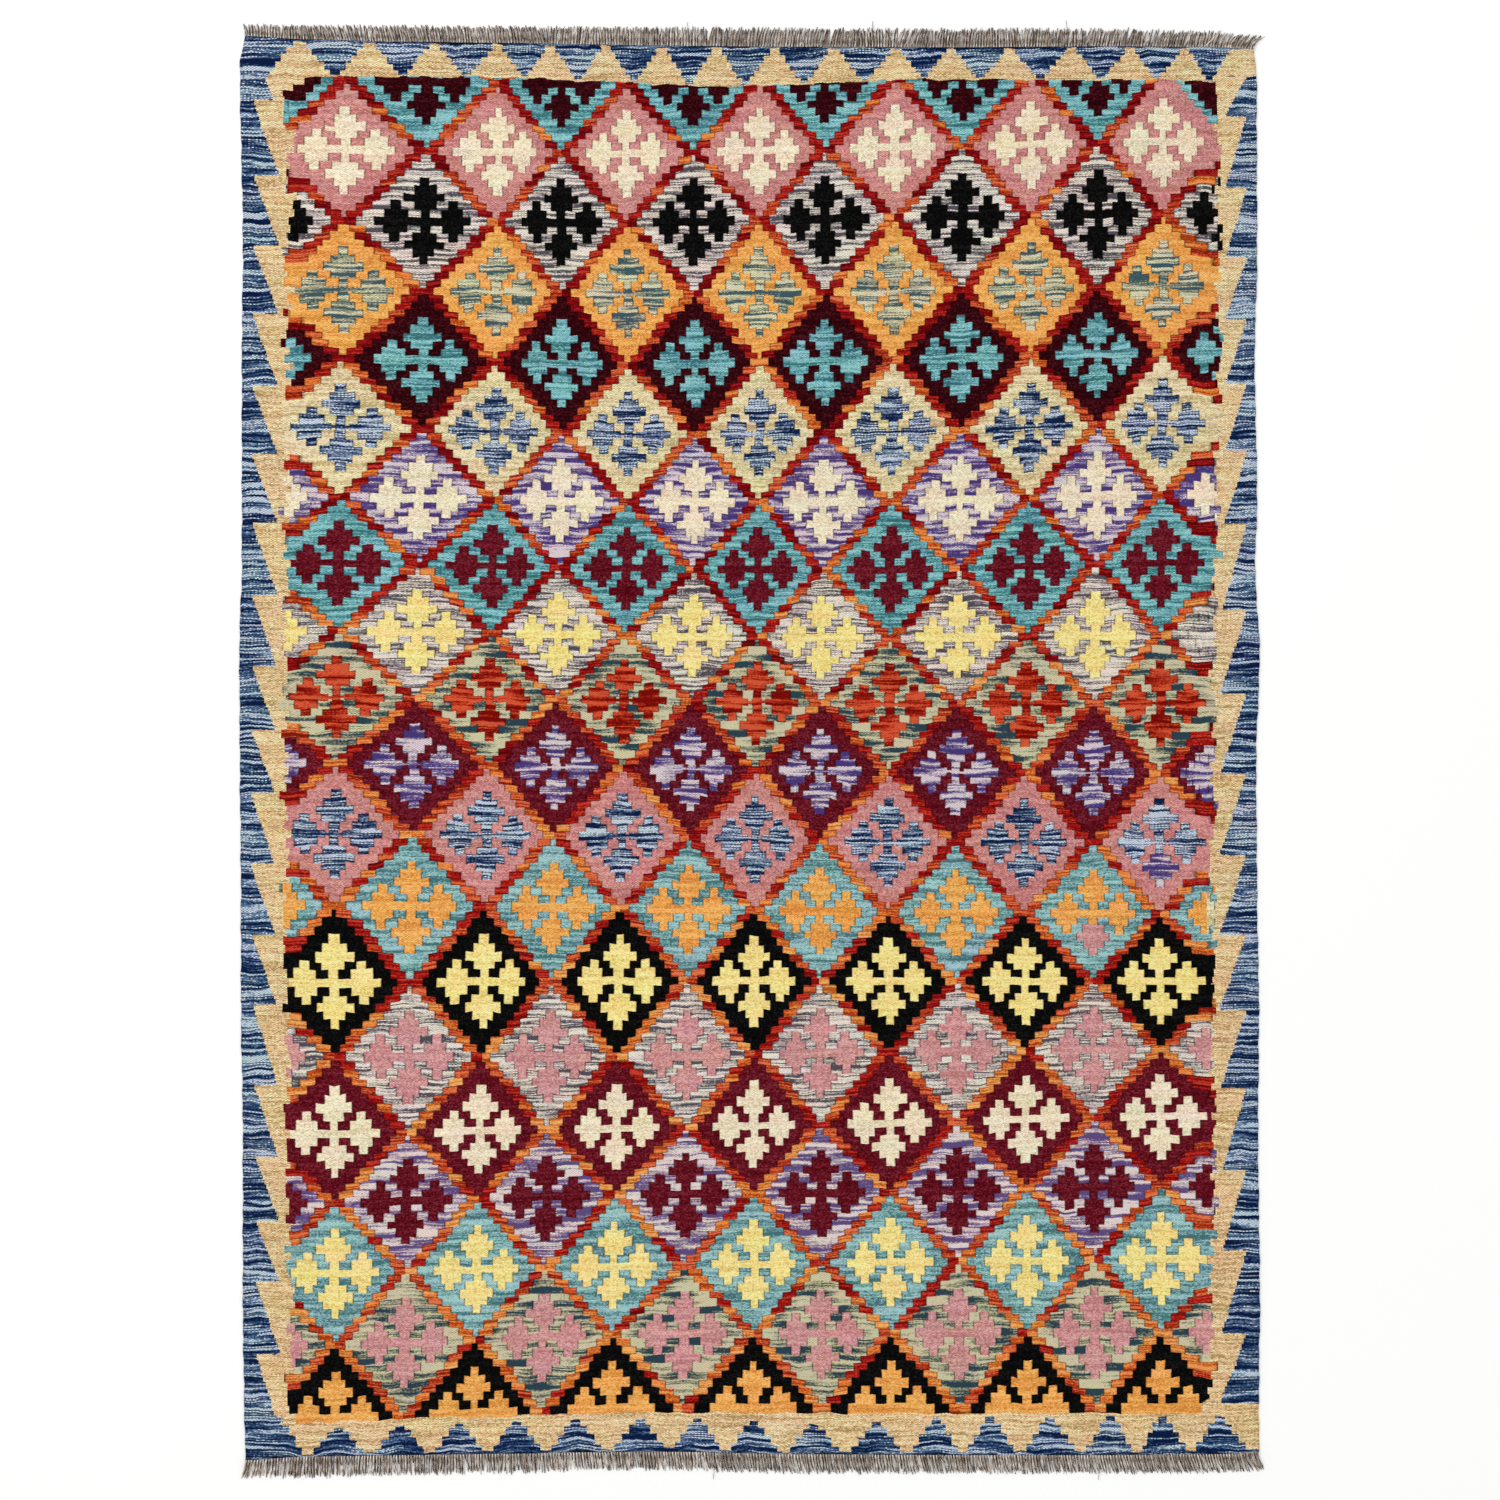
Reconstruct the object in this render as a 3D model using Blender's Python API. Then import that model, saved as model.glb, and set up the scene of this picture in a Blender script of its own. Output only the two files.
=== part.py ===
# A flat-woven kilim rug that lies on the floor: one cloth, and a fringe of warp ends at each end.
# Units are metres. +Z is up, +X runs across the rug and +Y along its length, towards the far end.
import math
from collections import namedtuple

import bmesh
import bpy

MM = 0.001

# Driving dimensions
CLOTH_WIDTH = 1.700             # between the two selvedges
CLOTH_LENGTH = 2.362            # between the last wefts, without the fringes
CLOTH_THICKNESS = 2.6 * MM      # a firm slit tapestry in wool
STRIP_WIDTH = 5.0 * MM          # the twined end wefts, which hold a fringe's roots together
STRIP_GAP = 0.3 * MM            # between the cloth and each end strip
LOCKS_PER_END = 150             # each lock stands for two or three warp ends
LOCK_ROOT_SHARE = 0.72          # a lock's width at its root, as a share of the pitch
LOCK_TIP_SHARE = 0.46           # and at its tip
LOCK_TIP_THICKNESS = 1.3 * MM
CLOTH_COLUMNS = 22              # facets across and along the cloth's face
CLOTH_ROWS = 30

# The selvedges wander a little. Each row: the share of the length from the near end, and how far
# the left and right edges stand out from a straight line there, in millimetres.
SideRow = namedtuple("SideRow", "share left right")
SIDES = [
    SideRow(0.00, -6.5, 4.0),
    SideRow(0.06, -4.0, 4.0),
    SideRow(0.10, -2.5, 5.5),
    SideRow(0.23, -2.5, 2.5),
    SideRow(0.32, 0.8, 4.0),
    SideRow(0.40, 0.8, 0.8),
    SideRow(0.49, 2.5, -0.8),
    SideRow(0.57, 3.3, 5.0),
    SideRow(0.63, -0.8, -2.5),
    SideRow(0.68, -0.8, 0.8),
    SideRow(0.78, -0.8, -3.3),
    SideRow(0.85, -2.5, 0.8),
    SideRow(0.98, 2.5, 0.0),
    SideRow(1.00, -6.5, -4.0),
]

# The ends are not square either. Each row: the share of the width from the left, how far the last
# weft stands out from a straight line, and how long the fringe is beyond it, in millimetres.
EndRow = namedtuple("EndRow", "share far far_fringe near near_fringe")
ENDS = [
    EndRow(0.00, 15.5, 18.0, 10.0, 28.0),
    EndRow(0.06, 10.0, 22.0, 4.0, 33.0),
    EndRow(0.16, 6.0, 25.0, 1.5, 31.0),
    EndRow(0.26, 4.0, 26.0, -0.8, 31.0),
    EndRow(0.34, 1.5, 27.0, -3.3, 29.0),
    EndRow(0.42, -0.8, 29.0, -4.0, 29.0),
    EndRow(0.55, -2.5, 29.0, 0.0, 31.0),
    EndRow(0.70, -3.3, 29.0, 1.5, 29.0),
    EndRow(0.85, -1.5, 27.0, 1.5, 29.0),
    EndRow(0.95, -2.5, 24.0, 0.0, 30.0),
    EndRow(1.00, -6.0, 20.0, -3.3, 30.0),
]

# Low swells in the cloth's face: height in millimetres, waves across and along, and phase.
Swell = namedtuple("Swell", "height across along phase")
SWELLS = [
    Swell(0.16, 1.0, 2.0, 0.4),
    Swell(0.12, 3.0, 1.0, 1.9),
    Swell(0.08, 5.0, 7.0, 2.6),
]

# How the fringe leans sideways at its tips, in millimetres, in slow and quick waves along the end.
Lean = namedtuple("Lean", "reach waves phase")
FAR_LEAN = [Lean(2.6, 3.0, 0.3), Lean(1.8, 11.0, 1.2), Lean(0.7, 37.0, 2.0)]
NEAR_LEAN = [Lean(2.4, 2.0, 2.2), Lean(1.6, 13.0, 0.7), Lean(0.7, 41.0, 0.5)]
NEAR_LEAN_MEAN = 2.2 * MM       # the near fringe is combed slightly to the right


def clear_scene():
    for thing in list(bpy.data.objects):
        bpy.data.objects.remove(thing, do_unlink=True)


def read_table(rows, column, share):
    """Value of a table's column at a share, eased from one row to the next."""
    before = rows[0]
    for after in rows[1:]:
        if share <= after.share:
            part = (share - before.share) / (after.share - before.share)
            eased = part * part * (3.0 - 2.0 * part)
            low = getattr(before, column)
            return (low + (getattr(after, column) - low) * eased) * MM
        before = after
    return getattr(rows[-1], column) * MM


def end_bow(column, share):
    """An end's bow, with the straight facets that the cloth's columns give it."""
    place = share * CLOTH_COLUMNS
    column_before = min(int(place), CLOTH_COLUMNS - 1)
    part = place - column_before
    low = read_table(ENDS, column, column_before / CLOTH_COLUMNS)
    high = read_table(ENDS, column, (column_before + 1) / CLOTH_COLUMNS)
    return low + (high - low) * part


def side_x(across, along):
    """X at shares of the width and length, between the two wandering selvedges."""
    left = -CLOTH_WIDTH / 2 - read_table(SIDES, "left", along)
    right = CLOTH_WIDTH / 2 + read_table(SIDES, "right", along)
    return left + (right - left) * across


def face_height(across, along):
    height = CLOTH_THICKNESS
    for swell in SWELLS:
        turn = math.tau * (swell.across * across + swell.along * along) + swell.phase
        height += swell.height * MM * math.sin(turn)
    return height


def cloth_point(across, along):
    """The cloth's outline ends where the two end strips begin."""
    inset = STRIP_WIDTH + STRIP_GAP
    near_y = -CLOTH_LENGTH / 2 - end_bow("near", across) + inset
    far_y = CLOTH_LENGTH / 2 + end_bow("far", across) - inset
    return side_x(across, along), near_y + (far_y - near_y) * along


def make_material(name, color, roughness):
    material = bpy.data.materials.new(name)
    material.use_nodes = True
    shader = material.node_tree.nodes["Principled BSDF"]
    shader.inputs["Base Color"].default_value = (*color, 1.0)
    shader.inputs["Roughness"].default_value = roughness
    shader.inputs["Metallic"].default_value = 0.0
    return material


def finish_object(name, bm, material, parent):
    bmesh.ops.recalc_face_normals(bm, faces=bm.faces[:])
    mesh = bpy.data.meshes.new(name)
    bm.to_mesh(mesh)
    bm.free()
    mesh.materials.append(material)
    thing = bpy.data.objects.new(name, mesh)
    thing.parent = parent
    bpy.context.scene.collection.objects.link(thing)
    return thing


def thicken(bm, top_of):
    """Give a flat plan its thickness: the plan stays at z = 0 and a copy of it is lifted."""
    plan = bm.faces[:]
    lifted = bmesh.ops.extrude_face_region(bm, geom=plan, use_keep_orig=True)
    for vert in lifted["geom"]:
        if isinstance(vert, bmesh.types.BMVert):
            vert.co.z = top_of(vert)
    return plan


def make_cloth(material, parent):
    bm = bmesh.new()
    bmesh.ops.create_grid(bm, x_segments=CLOTH_COLUMNS, y_segments=CLOTH_ROWS, size=0.5)
    share = bm.verts.layers.float_vector.new("share")
    for vert in bm.verts:
        across, along = vert.co.x + 0.5, vert.co.y + 0.5
        vert[share] = (across, along, 0.0)
        vert.co.x, vert.co.y = cloth_point(across, along)
    underside = thicken(bm, lambda vert: face_height(vert[share].x, vert[share].y))
    bmesh.ops.dissolve_faces(bm, faces=underside)
    return finish_object("cloth", bm, material, parent)


def make_fringe(name, end, leans, lean_mean, material, parent):
    """An end strip with its locks. end is +1 at the far end and -1 at the near one."""
    side = "far" if end > 0 else "near"
    along = 1.0 if end > 0 else 0.0
    columns = 2 * LOCKS_PER_END + 1
    pitch = 1.0 / LOCKS_PER_END
    gap = pitch * (1.0 - LOCK_ROOT_SHARE)

    def column_share(column):
        """Gap and lock columns take turns, with half a gap at each selvedge."""
        lock, is_root_end = divmod(column - 1, 2)
        if column == 0:
            return 0.0
        if column == columns:
            return 1.0
        start = lock * pitch + gap / 2
        return start + (pitch - gap if is_root_end else 0.0)

    def end_y(across):
        return end * (CLOTH_LENGTH / 2 + end_bow(side, across))

    def tip_lean(across):
        sway = lean_mean
        for lean in leans:
            sway += lean.reach * MM * math.sin(math.tau * lean.waves * across + lean.phase)
        return sway

    bm = bmesh.new()
    bmesh.ops.create_grid(bm, x_segments=columns, y_segments=1, size=0.5)
    out = bm.verts.layers.float.new("out")      # 0 on the strip, 1 at a lock's tip
    outer = {}
    for vert in bm.verts:
        column = round((vert.co.x + 0.5) * columns)
        is_outer = vert.co.y * end > 0
        across = column_share(column)
        vert.co.x = side_x(across, along)
        vert.co.y = end_y(across) - (0.0 if is_outer else end * STRIP_WIDTH)
        if is_outer:
            outer[column] = vert

    for lock in range(LOCKS_PER_END):
        root = (outer[2 * lock + 1], outer[2 * lock + 2])
        middle = (root[0].co + root[1].co) / 2
        root_width = root[1].co.x - root[0].co.x
        across = (lock + 0.5) * pitch
        length = read_table(ENDS, side + "_fringe", across)
        length *= 1.0 + 0.05 * math.sin(2.4 * lock) + 0.04 * math.sin(5.3 * lock)
        edge = bm.edges.get(root)
        for part in (0.55, 1.0):
            grown = bmesh.ops.extrude_edge_only(bm, edges=[edge])
            edge = next(item for item in grown["geom"] if isinstance(item, bmesh.types.BMEdge))
            narrowing = 1.0 + (LOCK_TIP_SHARE / LOCK_ROOT_SHARE - 1.0) * part
            center_x = middle.x + tip_lean(across) * part * part
            left, right = sorted(edge.verts, key=lambda vert: vert.co.x)
            for vert, hand in ((left, -1.0), (right, 1.0)):
                vert[out] = part
                vert.co.x = center_x + hand * narrowing * root_width / 2
                vert.co.y = middle.y + end * length * part

    drop = CLOTH_THICKNESS - LOCK_TIP_THICKNESS
    thicken(bm, lambda vert: CLOTH_THICKNESS - drop * vert[out])
    return finish_object(name, bm, material, parent)


def stand_at_center(pieces, rug):
    """Bring the whole rug's outline to the middle of the origin."""
    points = [vert.co for piece in pieces for vert in piece.data.vertices]
    for axis in (0, 1):
        low = min(point[axis] for point in points)
        high = max(point[axis] for point in points)
        rug.location[axis] = -(low + high) / 2


def main():
    clear_scene()
    rug = bpy.data.objects.new("rug", None)
    bpy.context.scene.collection.objects.link(rug)
    weave = make_material("wool_weave", (0.42, 0.26, 0.18), 0.9)
    warp = make_material("warp_wool", (0.36, 0.32, 0.29), 0.95)
    pieces = [
        make_cloth(weave, rug),
        make_fringe("fringe_far", 1, FAR_LEAN, 0.0, warp, rug),
        make_fringe("fringe_near", -1, NEAR_LEAN, NEAR_LEAN_MEAN, warp, rug),
    ]
    stand_at_center(pieces, rug)
    bpy.context.view_layer.update()


main()
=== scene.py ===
import math
import random
from types import SimpleNamespace

import bmesh
import bpy
import numpy as np
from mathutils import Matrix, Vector


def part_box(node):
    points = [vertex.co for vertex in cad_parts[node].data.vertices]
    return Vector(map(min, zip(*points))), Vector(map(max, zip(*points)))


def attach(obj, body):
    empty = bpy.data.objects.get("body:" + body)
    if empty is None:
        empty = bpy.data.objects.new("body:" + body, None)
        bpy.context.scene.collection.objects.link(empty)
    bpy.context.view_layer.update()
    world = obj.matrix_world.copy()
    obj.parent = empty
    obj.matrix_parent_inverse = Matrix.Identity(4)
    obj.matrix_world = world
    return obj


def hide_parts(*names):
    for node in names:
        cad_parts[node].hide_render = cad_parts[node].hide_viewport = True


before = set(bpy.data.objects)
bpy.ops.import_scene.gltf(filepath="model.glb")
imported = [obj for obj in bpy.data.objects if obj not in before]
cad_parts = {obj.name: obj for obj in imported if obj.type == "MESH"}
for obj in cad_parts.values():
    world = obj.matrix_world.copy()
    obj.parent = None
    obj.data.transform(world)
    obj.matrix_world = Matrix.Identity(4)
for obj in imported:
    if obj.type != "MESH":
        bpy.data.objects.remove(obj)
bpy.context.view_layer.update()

mm = 0.001

# The rug as it lies: +X to the right, +Y towards the far end. The tables are in millimetres from
# the middle of the rug, and "down" runs from the far end to the near one.
rug = dict(
    width=1.700,            # between the selvedges
    length=2.362,           # between the last wefts
    thickness=0.0026,
    cellsPerLozenge=10,     # cells across from one column of middles to the next
    rowsPerLozenge=9,       # rows of cells from one row of middles to the next
    warpsPerCell=4.33,
    picksPerRow=7.5,
)
cellHalf, rowHalf = rug["cellsPerLozenge"], rug["rowsPerLozenge"]

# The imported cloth: the facets of its face, and how far inside the last wefts its ends lie, in mm.
packed = dict(columns=22, rows=30, inset=5.3)

# How far the selvedges stand out from a straight line, at shares of the length from the near end.
sides = dict(
    share=[0.00, 0.06, 0.10, 0.23, 0.32, 0.40, 0.49, 0.57, 0.63, 0.68, 0.78, 0.85, 0.98, 1.00],
    left=[-6.5, -4.0, -2.5, -2.5, 0.8, 0.8, 2.5, 3.3, -0.8, -0.8, -0.8, -2.5, 2.5, -6.5],
    right=[4.0, 4.0, 5.5, 2.5, 4.0, 0.8, -0.8, 5.0, -2.5, 0.8, -3.3, 0.8, 0.0, -4.0],
)

# How far the last wefts stand out, and the length of the fringe, at shares of the width.
ends = dict(
    share=[0.00, 0.06, 0.16, 0.26, 0.34, 0.42, 0.55, 0.70, 0.85, 0.95, 1.00],
    far=[15.5, 10.0, 6.0, 4.0, 1.5, -0.8, -2.5, -3.3, -1.5, -2.5, -6.0],
    farFringe=[19.0, 23.0, 26.0, 27.0, 28.0, 30.0, 30.0, 30.0, 28.0, 25.0, 21.0],
    near=[10.0, 4.0, 1.5, -0.8, -3.3, -4.0, 0.0, 1.5, 1.5, 0.0, -3.3],
    nearFringe=[28.0, 33.0, 31.0, 31.0, 29.0, 29.0, 31.0, 29.0, 29.0, 30.0, 30.0],
)

# Where the middles of the lozenges' columns lie, at four places down the rug.
columnMiddles = dict(
    down=[-1122, -536, 151, 1089],
    across=[
        [-806, -675, -539, -419, -315, -206, -95, 17, 127, 246, 358, 472, 585, 693, 801],
        [-820, -683, -548, -424, -313, -201, -89, 18, 126, 240, 355, 471, 583, 692, 806],
        [-824, -695, -564, -439, -327, -213, -99, 10, 117, 233, 345, 461, 576, 687, 808],
        [-812, -693, -578, -461, -347, -231, -111, 7, 122, 238, 352, 467, 580, 690, 814],
    ],
)

# And where the middles of their rows lie, at four places across it.
rowMiddles = dict(
    across=[-685, -216, 236, 688],
    down=[
        [-1121, -1005, -886, -770, -656, -541, -423, -313, -199, -88,
         22, 141, 260, 391, 513, 644, 759, 876, 997, 1118],
        [-1113, -998, -882, -763, -644, -527, -415, -304, -191, -83,
         31, 144, 265, 387, 515, 634, 744, 865, 977, 1101],
        [-1122, -1008, -891, -767, -653, -531, -415, -301, -187, -77,
         37, 155, 273, 387, 505, 625, 741, 858, 977, 1101],
        [-1135, -1018, -899, -777, -666, -547, -427, -313, -192, -78,
         39, 155, 275, 387, 501, 613, 729, 853, 975, 1101],
    ],
)

# The field of lozenges ends at these lines.
field = dict(
    leftDown=[-1127, -1044, -1034, -586, 168, 587, 1089],
    left=[-780, -780, -768, -775, -777, -772, -768],
    rightDown=[-1127, -1075, -921, -619, -502, -318, -251, 84, 419, 754, 922, 1089, 1091],
    right=[781, 784, 787, 787, 783, 785, 779, 779, 777, 777, 775, 773, 757],
    farAcross=[-752, -417, -250, -82, -15, 85, 219, 588, 739, 780, 791],
    far=[-1127, -1127, -1118, -1112, -1110, -1114, -1121, -1122, -1122, -1115, -1127],
    nearAcross=[-752, -668, -585, -417, -333, -82, 85, 755],
    near=[1128, 1124, 1121, 1116, 1111, 1109, 1112, 1112],
)

# The borders' teeth down the sides: where each tooth starts, and its slant from the tip to the root.
sideTeeth = dict(
    left=[-1175, -1088, -961, -844, -730, -609, -495, -380, -259, -140, -33, 72,
          190, 310, 426, 562, 682, 789, 890, 1012, 1143, 1260],
    right=[-1127, -1061, -941, -825, -721, -613, -501, -379, -234, -94, 41, 176,
           310, 436, 566, 704, 838, 977, 1102, 1230],
    rightEnds=1100,
    leftDown=[-1090, -960, -620, -260, 190, 430, 720, 1010],
    leftTip=[-829, -829, -833, -832, -835, -831, -826, -826],
    leftRoot=[-796, -785, -789, -790, -795, -791, -788, -784],
    rightDown=[-1063, -502, -100, 436, 704, 972, 1098],
    rightTip=[833, 834, 832, 833, 833, 833, 833],
    rightRoot=[797, 798, 789, 787, 793, 791, 784],
    steps=14,               # the steps of a tooth's slant,
    jitter=0.05,            # and how much they move, in shares of a tooth
)

# The triangles along the ends. The far ones are beige and touch the field, and the near ones are blue
# and hang from these tips.
farTeeth = dict(
    across=[-753, -635, -526, -420, -333, -240, -146, -54, 43, 142, 247, 338, 437, 540, 638, 729, 812],
    wide=0.41,              # half the blue between two of them at the top, in shares of their distance
    step=0.085,             # and how much narrower it gets with each row,
    rows=5,
    clear=0.2,              # down to this far from the field, in rows of the field,
    cornerBlue=0.2,         # but for this share of a tooth at the left corner
    edge=4.2,               # the dark blue beside the last wefts, in mm
)
nearTeeth = dict(
    across=[-790, -687, -585, -485, -389, -291, -182, -86, 8, 109, 212, 314, 402, 504, 606, 692, 787, 900],
    down=[1116, 1138, 1131, 1129, 1124, 1121, 1121, 1118, 1124, 1129, 1126, 1119, 1116, 1118, 1116,
          1116, 1116, 1116],
    wide=0.078,             # the tip's half width, in shares of the distance between two
    step=0.107,             # and how much wider each row is,
    rows=3.7,
    firstRow=0.3,           # of which the first lacks this share
    widest=0.42,
    lastRow=0.35,           # the blue row that joins them, in rows of the field
    edge=1.5,               # the dark blue beside the last wefts, in mm
    arch=0.375,             # how far the wefts rise over a triangle at the left, in rows of the field,
    archLess=0.0025,        # by how much less with each cell to the right,
    archRows=(0.5, 3.5),    # and where they begin to rise and rise in full, in rows below the field
)


def eased(place, places, values):
    # Reads a table in a smooth line from one row to the next.
    place = np.clip(place, places[0], places[-1])
    after = np.clip(np.searchsorted(places, place, side="right"), 1, len(places) - 1)
    places, values = np.asarray(places, float), np.asarray(values, float)
    part = (place - places[after - 1]) / (places[after] - places[after - 1])
    part = part * part * (3 - 2 * part)
    return values[after - 1] + (values[after] - values[after - 1]) * part


def sideX(across, along):
    left = -rug["width"] / 2 - eased(along, sides["share"], sides["left"]) * mm
    right = rug["width"] / 2 + eased(along, sides["share"], sides["right"]) * mm
    return left + (right - left) * across


def endY(across, end):
    # The last weft's line: end is 1 at the far end and -1 at the near one.
    bow = eased(across, ends["share"], ends["far" if end > 0 else "near"]) * mm
    return end * (rug["length"] / 2 + bow)


def rugShift():
    # From the rug's own middle to the frame's: the frame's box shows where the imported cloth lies.
    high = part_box("cloth")[1]
    along = np.linspace(0, 1, packed["rows"] + 1)
    across = np.linspace(0, 1, packed["columns"] + 1)
    x = high.x - sideX(1.0, along).max()
    y = high.y - (endY(across, 1).max() - packed["inset"] * mm)
    return Vector((x, y, 0))


shift = rugShift()


# The yarns, each in four tones from dark to pale. "mix" says how mixed a yarn is, "lines" how much of
# that is in thin lines, and "gap" how dark the painted shade between its floats is, all from 0 to 1.
yarns = dict(
    teal=dict(mix=0.6, lines=0.5, gap=0.45,
              tones=[(56, 110, 116), (90, 151, 156), (118, 176, 181), (148, 203, 206)]),
    paleTeal=dict(mix=0.5, lines=0.5, gap=0.4,
                  tones=[(70, 114, 118), (109, 154, 156), (139, 179, 180), (165, 205, 204)]),
    wine=dict(mix=0.0, lines=0.5, gap=0.5, tones=[(30, 0, 3), (44, 0, 6), (55, 3, 11), (74, 20, 28)]),
    pink=dict(mix=0.1, lines=0.5, gap=0.32,
              tones=[(179, 115, 115), (196, 135, 135), (211, 153, 151), (228, 173, 168)]),
    rose=dict(mix=0.1, lines=0.5, gap=0.35,
              tones=[(176, 104, 101), (193, 124, 121), (209, 143, 138), (226, 163, 155)]),
    cream=dict(mix=0.0, lines=0.5, gap=0.22,
               tones=[(210, 191, 159), (231, 213, 182), (245, 228, 197), (255, 243, 216)]),
    greyMix=dict(mix=1.0, lines=0.6, gap=0.5,
                 tones=[(84, 79, 87), (162, 152, 146), (204, 191, 181), (236, 223, 209)]),
    black=dict(mix=0.0, lines=0.5, gap=0.5, tones=[(1, 1, 1), (4, 4, 4), (9, 9, 8), (24, 23, 23)]),
    gold=dict(mix=0.15, lines=0.5, gap=0.34,
              tones=[(208, 132, 56), (228, 155, 74), (243, 171, 89), (255, 192, 112)]),
    greenMix=dict(mix=1.0, lines=0.1, gap=0.45,
                  tones=[(44, 66, 78), (116, 120, 99), (169, 164, 134), (207, 198, 163)]),
    oliveMix=dict(mix=1.0, lines=0.5, gap=0.5,
                  tones=[(64, 90, 98), (143, 146, 122), (186, 179, 145), (220, 211, 178)]),
    pale=dict(mix=0.3, lines=0.8, gap=0.35,
              tones=[(184, 162, 114), (212, 192, 147), (230, 213, 169), (248, 232, 192)]),
    blueMix=dict(mix=1.0, lines=0.8, gap=0.7,
                 tones=[(12, 30, 68), (60, 80, 114), (128, 144, 168), (198, 210, 222)]),
    purpleMix=dict(mix=1.0, lines=0.2, gap=0.5,
                   tones=[(74, 56, 119), (113, 95, 145), (171, 154, 169), (218, 203, 207)]),
    lilacMix=dict(mix=1.0, lines=0.3, gap=0.5,
                  tones=[(96, 76, 127), (142, 121, 151), (191, 173, 174), (228, 213, 207)]),
    maroon=dict(mix=0.0, lines=0.5, gap=0.5,
                tones=[(74, 2, 12), (91, 9, 23), (106, 20, 34), (126, 42, 55)]),
    yellow=dict(mix=0.1, lines=0.5, gap=0.22,
                tones=[(220, 191, 107), (240, 215, 132), (251, 228, 146), (255, 241, 170)]),
    redMix=dict(mix=0.9, lines=0.2, gap=0.5,
                tones=[(120, 8, 3), (158, 32, 16), (190, 58, 32), (214, 88, 54)]),
    sideBlue=dict(mix=1.0, lines=0.8, gap=0.9,
                  tones=[(8, 27, 66), (45, 73, 112), (97, 122, 152), (190, 204, 217)]),
    beige=dict(mix=0.3, lines=1.0, gap=0.55,
               tones=[(177, 142, 94), (215, 180, 131), (236, 201, 152), (251, 230, 184)]),
    edgeBlue=dict(mix=0.8, lines=0.8, gap=0.7,
                  tones=[(4, 18, 48), (22, 42, 76), (52, 74, 106), (124, 144, 170)]),
    outlineWine=dict(mix=0.5, lines=0.8, gap=0.5,
                     tones=[(88, 0, 3), (116, 2, 8), (136, 8, 14), (164, 30, 28)]),
    outlineRed=dict(mix=0.6, lines=0.8, gap=0.5,
                    tones=[(110, 4, 6), (148, 13, 12), (170, 27, 20), (198, 60, 44)]),
    outlineBrick=dict(mix=0.7, lines=0.8, gap=0.5,
                      tones=[(134, 24, 12), (182, 57, 28), (207, 83, 42), (227, 118, 73)]),
    outlineOrange=dict(mix=0.6, lines=0.8, gap=0.45,
                       tones=[(170, 58, 20), (208, 99, 40), (227, 127, 56), (241, 153, 84)]),
    outlineGold=dict(mix=0.6, lines=0.8, gap=0.4,
                     tones=[(190, 88, 30), (220, 131, 60), (235, 154, 80), (248, 180, 108)]),
)
yarnNames = list(yarns)

# The lozenges' rows from the far end: the yarn of the ground and of the motif.
lozengeRows = [
    ("teal", "wine"), ("rose", "cream"), ("greyMix", "black"), ("gold", "oliveMix"),
    ("wine", "teal"), ("pale", "blueMix"), ("purpleMix", "cream"), ("teal", "maroon"),
    ("greyMix", "yellow"), ("greenMix", "redMix"), ("maroon", "purpleMix"), ("rose", "blueMix"),
    ("paleTeal", "gold"), ("black", "yellow"), ("greyMix", "pink"), ("maroon", "cream"),
    ("lilacMix", "maroon"), ("paleTeal", "yellow"), ("greenMix", "pink"), ("black", "gold"),
]
lastRow = rowHalf * (len(lozengeRows) - 1)                      # the rows of cells down to the last lozenges
lastMiddle = cellHalf * (len(columnMiddles["across"][0]) - 3)   # the cells across to the last whole ones

# A few petals were woven in another yarn: their middles' places in cells and rows.
otherPetals = [
    dict(across=110, row=112, yarn="pink"),
    dict(across=120, row=103, yarn="purpleMix"),
    dict(across=129.4, row=108, yarn="pale"),
]

# Two of the half lozenges at the right have a plain filled middle, or none: how far it reaches.
rightHalves = [
    dict(row=72, reach=-1.0),
    dict(row=90, reach=7.0),
]


def linearColour(rgb):
    # From the 0 to 255 of a screen to light.
    parts = [value / 255 for value in rgb]
    return tuple(p / 12.92 if p <= 0.04045 else ((p + 0.055) / 1.055) ** 2.4 for p in parts)


def addNode(tree, kind, settings, values, output=0):
    made = tree.nodes.new(kind)
    for name, value in settings.items():
        if name == "stops":
            fillRamp(made.color_ramp, value)
        else:
            setattr(made, name, value)
    for name, value in values.items():
        if isinstance(value, Wire):
            tree.links.new(value.socket, made.inputs[name])
        else:
            made.inputs[name].default_value = value
    return Wire(tree, made.outputs[output])


def fillRamp(ramp, stops):
    # Each stop holds its colour up to the next one. A new ramp has two stops.
    ramp.interpolation = "CONSTANT"
    ramp.elements.remove(ramp.elements[1])
    first, *others = stops
    ramp.elements[0].position, ramp.elements[0].color = first
    for place, colour in others:
        ramp.elements.new(place).color = colour


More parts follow.
